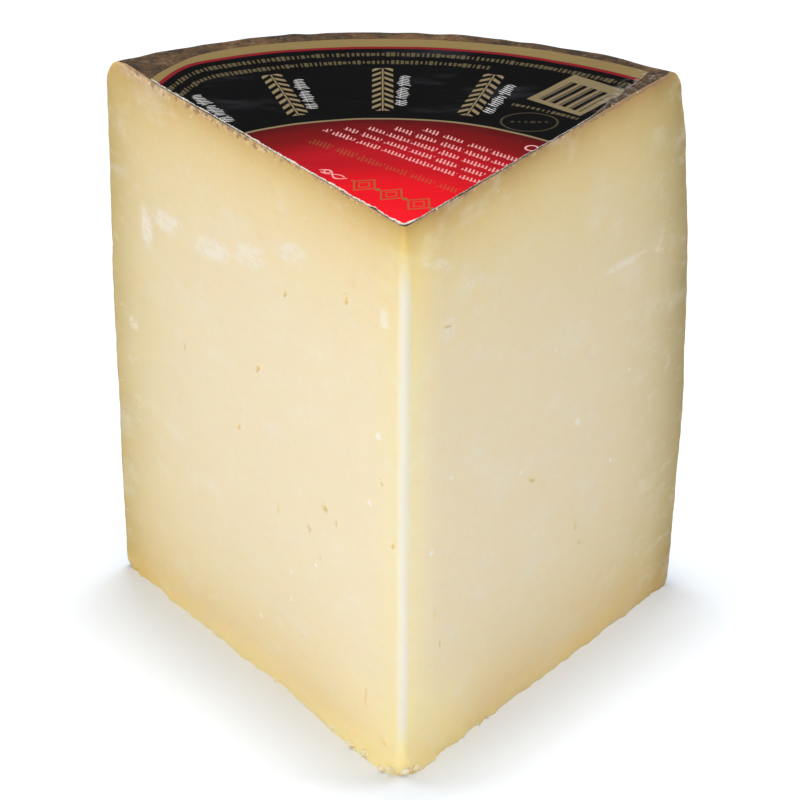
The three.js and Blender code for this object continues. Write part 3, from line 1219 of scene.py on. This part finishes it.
@dataclass
class CheesePiece:
    """The cheese itself: paste and rind as one closed solid."""

    shape: WheelShape
    weave: MatWeave = field(default_factory=MatWeave)
    columns: int = 116
    rows: int = 140
    steps: int = 104
    edge_round: float = 1.25
    merge_distance: float = 0.001

    def section(self, bm: bmesh.types.BMesh) -> None:
        """Lay one cut as a flat sheet of small faces in the plane x = 0."""
        base, side, top = self.shape.outline()
        bmesh.ops.create_grid(bm, x_segments=self.columns, y_segments=self.rows, size=0.5)
        shares = {round(v.co.x + 0.5, 5) for v in bm.verts}, {round(v.co.y + 0.5, 5) for v in bm.verts}
        low = {u: along(base, crowd(u, 0.45)) for u in shares[0]}
        high = {u: along(top, crowd(u, 0.45)) for u in shares[0]}
        rind = {v: along(side, crowd(v, 0.3)) for v in shares[1]}
        for vertex in bm.verts:
            u, v = round(vertex.co.x + 0.5, 5), round(vertex.co.y + 0.5, 5)
            wide, tall = crowd(u, 0.45), crowd(v, 0.3)
            inner = Vector((0, tall * self.shape.height))
            blended = low[u] * (1 - tall) + high[u] * tall
            corners = (
                Vector((0, 0)) * (1 - wide) * (1 - tall)
                + base[-1] * wide * (1 - tall)
                + Vector((0, self.shape.height)) * (1 - wide) * tall
                + top[-1] * wide * tall
            )
            spot = blended + inner * (1 - wide) + rind[v] * wide - corners
            vertex.co = Vector((0, spot.x, spot.y))

    def sweep(self, bm: bmesh.types.BMesh) -> None:
        """Turn the section about the tip's edge, from the left cut to the right one."""
        left = math.radians(self.shape.left_angle)
        right = math.radians(self.shape.right_angle)
        upright = Vector((0, 0, 1))
        bmesh.ops.rotate(bm, verts=bm.verts, cent=(0, 0, 0), matrix=Matrix.Rotation(left, 3, upright))
        sheet = bm.verts[:] + bm.edges[:] + bm.faces[:]
        bmesh.ops.duplicate(bm, geom=sheet)
        bmesh.ops.spin(
            bm,
            geom=sheet,
            cent=(0, 0, 0),
            axis=(0, 0, -1),
            angle=left + right,
            steps=self.steps,
            use_merge=False,
            use_duplicate=False,
        )
        bmesh.ops.remove_doubles(bm, verts=bm.verts, dist=self.merge_distance)
        bmesh.ops.recalc_face_normals(bm, faces=bm.faces)

    def build(self) -> bpy.types.Object:
        """Make the piece."""
        bm = bmesh.new()
        self.section(bm)
        self.sweep(bm)
        LOG.info("swept %d faces", len(bm.faces))
        self.sort_faces(bm)
        self.refine_eyes(bm)
        self.carve(bm)
        crisp_borders(bm)
        finishes = [PasteFinish(self.shape).build(), RindFinish(self.shape, self.weave).build()]
        return settle(bm, "cheese", self.shape, finishes)

    def azimuth(self, place: Vector) -> float:
        """The angle of a point from +Y about the tip's edge."""
        return math.atan2(place.x, place.y)

    def sort_faces(self, bm: bmesh.types.BMesh) -> None:
        """Give each face its zone: paste on the two cuts, rind everywhere else."""
        left, right = -math.radians(self.shape.left_angle), math.radians(self.shape.right_angle)
        for face in bm.faces:
            spread = [self.azimuth(v.co) for v in face.verts if v.co.xy.length > 0.05]
            on_cut = any(all(abs(a - cut) < ON_CUT for a in spread) for cut in (left, right))
            flat = abs(face.normal.z) > 0.5 and face.calc_center_median().xy.length < 80
            face.material_index = Zone.PASTE.value if on_cut and not flat else Zone.RIND.value
            face.smooth = True

    def cut_spot(self, place: Vector) -> tuple[float, float] | None:
        """A point's distance from the tip and height if it lies on a cut, or None."""
        angle = self.azimuth(place)
        if abs(angle + math.radians(self.shape.left_angle)) < ON_CUT:
            return -place.xy.length, place.z
        if abs(angle - math.radians(self.shape.right_angle)) < ON_CUT:
            return place.xy.length, place.z
        return None

    def refine_eyes(self, bm: bmesh.types.BMesh) -> None:
        """Split the faces round each eye, so that it can be a real hollow."""
        for reach, cuts in ((2.6, 1), (1.7, 1), (1.2, 1)):
            edges = set()
            for face in bm.faces:
                if face.material_index != Zone.PASTE.value:
                    continue
                spot = self.cut_spot(face.calc_center_median())
                if spot is None:
                    continue
                for eye in EYES:
                    size = reach * max(0.5, eye.length / 2, eye.width / 2) + 0.3
                    if abs(spot[0] - eye.u) < size and abs(spot[1] - eye.v) < size:
                        edges.update(face.edges)
                        break
            bmesh.ops.subdivide_edges(bm, edges=list(edges), cuts=cuts, use_grid_fill=True)
        LOG.info("refined to %d triangles", sum(len(face.verts) - 2 for face in bm.faces))

    def eye_depth(self, u: float, v: float) -> tuple[float, float]:
        """How deep the eyes are at a spot on a cut.

        Args:
            u: The distance from the tip, negative on the left cut.
            v: The height.

        Returns:
            The depth in millimetres, less any raised lip, and the share of a full eye.
        """
        depth, share = 0.0, 0.0
        for eye in EYES:
            du, dv = u - eye.u, v - eye.v
            if abs(du) > 4 or abs(dv) > 4:
                continue
            turn = math.radians(eye.turn)
            across = (du * math.cos(turn) - dv * math.sin(turn)) / (eye.width / 2)
            down = (dv * math.cos(turn) + du * math.sin(turn)) / (eye.length / 2)
            ragged = 1 + 0.25 * wobble(Vector((u, v, 0)), 0.8, 3.1)
            distance = math.hypot(across, down) * ragged
            hollow = ease(1.15, 0.45, distance) if distance < 1.15 else 0.0
            lip = 0.12 * math.exp(-((distance - 1.5) ** 2) / 0.12)
            depth += 0.6 * eye.depth * hollow - lip
            share = max(share, hollow)
        return depth, share

    def carve(self, bm: bmesh.types.BMesh) -> None:
        """Move every point from the plain sweep to the cheese's real surface."""
        names = ("rind_depth", "eye", "mat_print", "paper_trace")
        store = {name: bm.verts.layers.float.new(name) for name in names}
        left, right = -math.radians(self.shape.left_angle), math.radians(self.shape.right_angle)
        height = self.shape.height
        falloff = 4.0
        for vertex in bm.verts:
            place = vertex.co.copy()
            s, z = place.xy.length, place.z
            angle = self.azimuth(place) if s > AT_TIP else 0.0
            share = (angle - left) / (right - left)
            on_cut = s > AT_TIP and min(abs(angle - left), abs(angle - right)) < ON_CUT
            radius = self.shape.side_radius(z)
            inside = radius - s
            from_edge = min(inside, share * (right - left) * s, (1 - share) * (right - left) * s)
            on_top, on_base = z > height - ON_FACE, z < ON_FACE

            s += (s / radius) * self.shape.swell(angle, z)
            lean_left, lean_right = (self.shape.cut_angle(cut, z) for cut in (Cut.LEFT, Cut.RIGHT))
            angle = lean_left + share * (lean_right - lean_left)
            out = Vector((math.sin(angle), math.cos(angle), 0))
            moved = out * s + Vector((0, 0, z))
            from_cut = min(share, 1 - share) * (right - left) * s
            calm = ease(0, 9, from_cut)
            moved += self.skin(moved, out, inside, s, z, on_top, angle, calm)
            if on_base:
                moved.z += (0.2 + 0.15 * wobble(moved, 9, 27)) * ease(0.6, 5.0, from_edge)
            moved.z += corner_rise(angle, s, z)
            if from_cut < falloff:
                near, lean = (Cut.LEFT, lean_left) if share < 0.5 else (Cut.RIGHT, lean_right)
                normal = Vector((math.cos(lean), -math.sin(lean), 0)) * near.value
                beside = Vector((math.sin(lean) * s, math.cos(lean) * s, z))
                depth, hollow = self.eye_depth(near.value * s, z) if on_cut else (0.0, 0.0)
                vertex[store["eye"]] = hollow
                moved += normal * (self.knife(beside, s, z) * ease(falloff, 0.0, from_cut) - depth)
            moved.y += self.rounded_edge(s, z, moved)
            vertex[store["rind_depth"]] = max(inside, 0.0)
            vertex[store["mat_print"]] = self.print_band(z) if inside < 3 else 0.0
            vertex[store["paper_trace"]] = self.paper_trace(angle, s, on_top)
            if on_base:
                moved.z = max(moved.z, 0.0)
            vertex.co = moved

    def print_band(self, z: float) -> float:
        """How much of the mat's print a height shows; it runs out towards both rims."""
        return ease(2.5, 9, z) * ease(self.shape.height - 4, self.shape.height - 11, z)

    def knife(self, place: Vector, s: float, z: float) -> float:
        """The cut face's own unevenness, outwards: the blade's sway, and crumbled lower edges."""
        sway = 0.28 * wobble(place, 34, 1.0) + 0.16 * wobble(place, 13, 2.0)
        curd = 0.07 * wobble(place, 4.2, 3.0) + 0.04 * wobble(place, 1.9, 4.0)
        calm = ease(0, 6, s)
        low = ease(4.5, 0.0, z)
        upright = Vector((place.x, place.y, z * 0.35))
        crumble = 0.4 * wobble(upright, 6.5, 6.0) + 0.5 * wobble(upright, 2.4, 7.0)
        crumble += 0.35 * wobble(upright, 1.2, 8.0)
        ledge = 0.5 * ease(29, 24, s) - 0.5 * ease(33, 37, s) * ease(46, 42, s) if place.x < 0 else 0.0
        return sway * calm + curd + (crumble + ledge) * low * ease(1, 7, s)

    def rounded_edge(self, s: float, z: float, place: Vector) -> float:
        """How far the edge at the tip is worn back, towards +Y."""
        bottom = ease(9.0, 0.0, z)
        radius = self.edge_round + 0.25 * wobble(Vector((0, 0, z)), 9, 9.0) + 2.6 * bottom**2
        radius *= 1 - 0.45 * ease(106, 112, z)
        half = math.radians((self.shape.left_angle + self.shape.right_angle) / 2)
        rough = bottom * 0.5 * wobble(place, 2.4, 11.0) * ease(radius, 0, s)
        return round_off(s, half, radius) + rough

    def skin(
        self,
        place: Vector,
        out: Vector,
        inside: float,
        s: float,
        z: float,
        on_top: bool,
        angle: float,
        calm: float,
    ) -> Vector:
        """How far the rind's surface moves: ribs on the side, wrinkles on the rim and base.

        Args:
            place: The point.
            out: Straight out from the tip's edge.
            inside: How far in from the rind it lies.
            s: The distance from the tip's edge.
            z: The height.
            on_top: Whether it lies on the top face.
            angle: The angle about the tip's edge.
            calm: How much of the print shows, less towards the cuts.

        Returns:
            The movement in millimetres.
        """
        move = Vector((0, 0, 0))
        near_side = ease(6.0, 0.5, inside)
        if near_side > 0:
            arc = angle * self.shape.belly_radius
            ribs = self.weave.depth * (self.weave.height(arc, z) - 0.55) * self.print_band(z)
            lumps = 0.25 * wobble(place, 16, 21) + 0.16 * wobble(place, 5.5, 22)
            lumps += 0.12 * wobble(place, 2.2, 23)
            move += out * (ribs * (0.3 + 0.7 * calm) + lumps) * near_side
        if on_top:
            bare = ease(80.5, 84, s) if angle < math.radians(30) else ease(76, 82, s)
            wrinkles = 0.35 * wobble(place, 7, 24) + 0.25 * wobble(place, 3, 25)
            move.z += wrinkles * bare + (paper_wave(place) - 0.03) * (1 - bare)
        elif inside < 6 and z > self.shape.height - 6:
            move.z += 0.3 * wobble(place, 4.5, 26)
        return move

    def paper_trace(self, angle: float, s: float, on_top: bool) -> float:
        """Where scraps of the label's paper still cling to the bare rind."""
        if not on_top:
            return 0.0
        near_cut = ease(math.radians(31.5), math.radians(34), angle)
        return near_cut * ease(50, 58, s) * ease(86, 80, s)


@dataclass
class LabelPiece:
    """The paper label: a thin sheet that follows the wheel's top."""

    shape: WheelShape
    centre: tuple[float, float] = LABEL_CENTRE
    radius: float = 84.25
    thickness: float = 0.2
    peel_start: float = 52.0
    peel_end: float = 82.0
    peel_depth: float = 2.8
    columns: int = 120
    steps: int = 132

    def limits(self, s: float) -> tuple[float, float]:
        """The label's two cut edges, as angles at a distance from the tip."""
        top = self.shape.height
        left = self.shape.cut_angle(Cut.LEFT, top)
        right = self.shape.cut_angle(Cut.RIGHT, top)
        depth = self.peel_depth * ease(self.peel_start, self.peel_end, s)
        depth += 0.35 * depth * wobble(Vector((s, 0, 0)), 4.0, 31)
        fray = 0.25 * wobble(Vector((s, 0, 0)), 2.6, 32) + 0.15 * wobble(Vector((s, 5, 0)), 0.9, 37)
        fray_left = 0.14 * wobble(Vector((s, 9, 0)), 2.2, 33) + 0.1 * wobble(Vector((s, 14, 0)), 0.9, 38)
        tear = 0.5 * math.exp(-(((s - 8.6) / 0.9) ** 2))
        far = max(s, 1.0)
        return left + (0.05 + abs(fray_left) + tear) / far, right - (0.05 + abs(fray) + depth) / far

    def reach(self, angle: float) -> float:
        """The distance from the tip to the label's outer edge."""
        dot = self.centre[0] * math.sin(angle) + self.centre[1] * math.cos(angle)
        square = self.centre[0] ** 2 + self.centre[1] ** 2
        full = dot + math.sqrt(self.radius**2 - square + dot**2)
        x = math.sin(angle) * full - self.centre[0]
        y = math.cos(angle) * full - self.centre[1]
        turned = -math.degrees(math.atan2(x, y)) - 24.5
        worn = 0.76 * (math.sqrt(turned * turned + 6) + turned) / 2
        rough = 0.2 * wobble(Vector((angle * 80, 0, 0)), 5, 34)
        return full - worn + rough

    def build(self) -> bpy.types.Object:
        """Make the piece."""
        bm = bmesh.new()
        bmesh.ops.create_grid(bm, x_segments=self.columns, y_segments=self.steps, size=0.5)
        edge_layer = bm.verts.layers.float.new("paper_edge")
        rubbed_layer = bm.verts.layers.float.new("paper_rubbed")
        rough_left, rough_right = self.limits(60.0)
        for vertex in bm.verts:
            v = crowd(vertex.co.y + 0.5, 0.35)
            rough_angle = rough_left + v * (rough_right - rough_left)
            s = crowd(vertex.co.x + 0.5, 0.25) * self.reach(rough_angle)
            left, right = self.limits(s)
            angle = left + v * (right - left)
            place = Vector((math.sin(angle) * s, math.cos(angle) * s, 0))
            from_left, from_right = (angle - left) * s, (right - angle) * s
            vertex[edge_layer] = min(from_left, from_right)
            vertex[rubbed_layer] = ease(3.0, 0.5, from_right) * ease(56, 66, s)
            rise = corner_rise(angle, s, self.shape.height)
            place.z = self.shape.height + self.thickness + paper_wave(place) + rise
            place.y += round_off(s, (right - left) / 2, 0.9)
            vertex.co = place
        bmesh.ops.remove_doubles(bm, verts=bm.verts, dist=0.01)
        bmesh.ops.recalc_face_normals(bm, faces=bm.faces)
        if sum(face.normal.z for face in bm.faces) < 0:
            bmesh.ops.reverse_faces(bm, faces=bm.faces)
        for face in bm.faces:
            face.smooth = True
        back = bmesh.ops.extrude_face_region(bm, geom=bm.faces[:], use_keep_orig=True)["geom"]
        below = [item for item in back if isinstance(item, bmesh.types.BMVert)]
        bmesh.ops.translate(bm, verts=below, vec=(0, 0, -self.thickness))
        bmesh.ops.recalc_face_normals(bm, faces=bm.faces)
        for face in bm.faces:
            if face.normal.z < 0.5:
                face.material_index = 1
        crisp_borders(bm)
        finishes = [LabelPrint(self.shape).build(), PaperCoreFinish(self.shape).build()]
        return settle(bm, "label", self.shape, finishes)


@dataclass(frozen=True)
class Crumb:
    """A crumb that lies at a known place on the floor, from the tip."""

    x: float
    y: float
    size: float
    rise: float = 0.0


FOOT_CRUMBS = (
    Crumb(-9.0, 11.9, 0.95, 0.3),
    Crumb(-8.2, 11.0, 0.5),
    Crumb(-6.6, 9.0, 0.85, 0.2),
    Crumb(-5.6, 8.2, 0.6, 0.4),
    Crumb(-12.3, 16.9, 0.6, 0.6),
    Crumb(-13.1, 17.8, 0.35, 0.4),
    Crumb(-3.2, 4.4, 0.9, 0.2),
    Crumb(-1.6, 3.6, 0.8, 0.9),
    Crumb(2.2, 4.0, 0.7, 0.5),
    Crumb(0.3, 3.4, 0.9, 0.2),
    Crumb(3.6, 5.4, 0.4),
    Crumb(21.0, 28.9, 0.35),
)


@dataclass
class Crumbs:
    """Loose crumbs of paste at the foot of the cuts and along the label's cut edges."""

    shape: WheelShape
    seed: int = 7
    foot_count: int = 40
    edge_count: int = 60

    def crumb(self, bm: bmesh.types.BMesh, place: Vector, size: float, dice: random.Random) -> None:
        """Add one crumb, as an uneven chip."""
        made = bmesh.ops.create_icosphere(bm, subdivisions=3, radius=size)["verts"]
        seed = dice.uniform(0, 100)
        for vertex in made:
            rough = 0.5 * wobble(vertex.co, size * 1.3, seed)
            rough += 0.2 * wobble(vertex.co, size * 0.5, seed + 5)
            vertex.co *= 1 + rough
        squash = Vector((dice.uniform(0.7, 1.3), dice.uniform(0.6, 1.1), dice.uniform(0.5, 0.85)))
        turn = Matrix.Rotation(dice.uniform(0, math.tau), 3, "Z") @ Matrix.Diagonal(squash)
        bmesh.ops.transform(bm, matrix=turn.to_4x4(), verts=made)
        lowest = min(vertex.co.z for vertex in made)
        bmesh.ops.translate(bm, verts=made, vec=place - Vector((0, 0, lowest)))

    def build(self) -> bpy.types.Object:
        """Make the piece."""
        dice = random.Random(self.seed)
        bm = bmesh.new()
        for known in FOOT_CRUMBS:
            outward = Vector((math.copysign(0.3, known.x), -0.3, 0))
            self.crumb(bm, Vector((known.x, known.y, known.rise)) + outward, known.size, dice)
        for _ in range(self.foot_count):
            cut = dice.choice((Cut.LEFT, Cut.RIGHT))
            angle = self.shape.cut_angle(cut, 0)
            s = abs(dice.gauss(0, 24)) + 5
            size = dice.uniform(0.12, 0.4)
            outward = Vector((cut.value * math.cos(angle), -abs(math.sin(angle)), 0))
            place = Vector((math.sin(angle), math.cos(angle), 0)) * s + outward * dice.uniform(-0.4, 0.15)
            self.crumb(bm, place, size, dice)
        for _ in range(self.edge_count):
            cut = dice.choice((Cut.LEFT, Cut.RIGHT))
            angle = self.shape.cut_angle(cut, self.shape.height)
            s = dice.uniform(3, 74)
            size = dice.uniform(0.08, 0.2)
            place = Vector((math.sin(angle), math.cos(angle), 0)) * s
            inward = Vector((-cut.value * math.cos(angle), abs(math.sin(angle)), 0))
            place += inward * dice.uniform(0.0, 0.25)
            place.z = self.shape.height - dice.uniform(0.15, 0.5)
            self.crumb(bm, place, size, dice)
        bmesh.ops.recalc_face_normals(bm, faces=bm.faces)
        for face in bm.faces:
            face.smooth = True
        return settle(bm, "crumbs", self.shape, [CrumbFinish(self.shape).build()])


# ---------------------------------------------------------------------------------------
# Studio
# ---------------------------------------------------------------------------------------


@dataclass(frozen=True)
class SoftLight:
    """A square studio light that points at the cheese."""

    name: str
    place: tuple[float, float, float]
    size: float
    power: float
    tint: tuple[float, float, float] = (1.0, 1.0, 1.0)

    def build(self, target: Vector) -> None:
        """Hang the light.

        Args:
            target: What it points at, in metres.
        """
        data = bpy.data.lights.new(self.name, "AREA")
        data.shape = "SQUARE"
        data.size = self.size
        data.energy = self.power
        data.color = self.tint
        lamp = add_object(self.name, data)
        lamp.location = self.place
        lamp.rotation_euler = (target - lamp.location).to_track_quat("-Z", "Y").to_euler()


@dataclass
class Studio:
    """The camera, the pale floor and the soft light."""

    shape: WheelShape
    lens: float = 143.3
    camera_from_tip: tuple[float, float, float] = (-1.0, -472.6, 340.2)
    pitch: float = 28.87
    yaw: float = 0.05
    roll: float = 0.28
    floor_size: float = 6.0
    lights: tuple[SoftLight, ...] = (
        SoftLight("key", (-0.8, -0.5, 0.25), 0.5, 2.3),
        SoftLight("near_front", (0.0, -0.3, 0.15), 0.12, 0.24),
        SoftLight("side_fill", (0.75, -0.55, 0.5), 0.5, 0.7),
        SoftLight("overhead", (0.0, 0.18, 1.2), 0.3, 9.2),
        SoftLight("overhead_left", (-0.5, 0.1, 1.1), 0.4, 4.0),
        SoftLight("overhead_right", (0.5, 0.1, 1.1), 0.4, 4.6),
    )

    def build(self) -> None:
        """Set everything up."""
        self.camera()
        self.floor()
        self.world()
        target = self.shape.tip + Vector((0, 0.04, 0.05))
        for light in self.lights:
            light.build(target)
        bpy.context.scene.view_settings.view_transform = "Standard"

    def camera(self) -> None:
        """Place the camera in front of the tip, looking down on it."""
        data = bpy.data.cameras.new("camera")
        data.lens = self.lens
        data.sensor_width = 36.0
        data.clip_start = 0.01
        camera = add_object("camera", data)
        camera.location = self.shape.tip + Vector(self.camera_from_tip) * MM
        aim = Matrix.Rotation(math.radians(-self.yaw), 4, "Z")
        aim @= Matrix.Rotation(math.radians(90 - self.pitch), 4, "X")
        aim @= Matrix.Rotation(math.radians(self.roll), 4, "Z")
        camera.rotation_euler = aim.to_euler()
        bpy.context.scene.camera = camera

    def floor(self) -> None:
        """Lay a large pale floor under the object."""
        bm = bmesh.new()
        bmesh.ops.create_grid(bm, x_segments=1, y_segments=1, size=self.floor_size / 2)
        mesh = bpy.data.meshes.new("floor")
        bm.to_mesh(mesh)
        bm.free()
        graph = Graph("floor")
        mesh.materials.append(
            graph.finish(Base_Color=(0.88, 0.925, 0.99, 1), Roughness=0.9, Specular_IOR_Level=0.1)
        )
        made = add_object("floor", mesh)

    def world(self) -> None:
        """Fill the room with even pale light."""
        world = bpy.data.worlds.new("room")
        world.use_nodes = True
        background = world.node_tree.nodes["Background"]
        background.inputs["Color"].default_value = (1.0, 1.0, 1.0, 1.0)
        background.inputs["Strength"].default_value = 0.05
        bpy.context.scene.world = world


def main() -> None:
    """Build every piece, dress it and set it in its place."""
    logging.basicConfig(level=logging.INFO, format="%(name)s: %(message)s")
    shape = WheelShape.from_frame()
    builders: tuple[tuple[Callable[[], bpy.types.Object], str, str | None], ...] = (
        (CheesePiece(shape).build, "cheese", "cheese_wedge"),
        (LabelPiece(shape).build, "label", "paper_label"),
        (Crumbs(shape).build, "cheese", None),
    )
    for build, slot, node in builders:
        piece = build()
        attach(piece, "root")
        if node:
            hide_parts(node)
        LOG.info("%s: %d faces", piece.name, len(piece.data.polygons))
    Studio(shape).build()


if __name__ == "__main__":
    main()
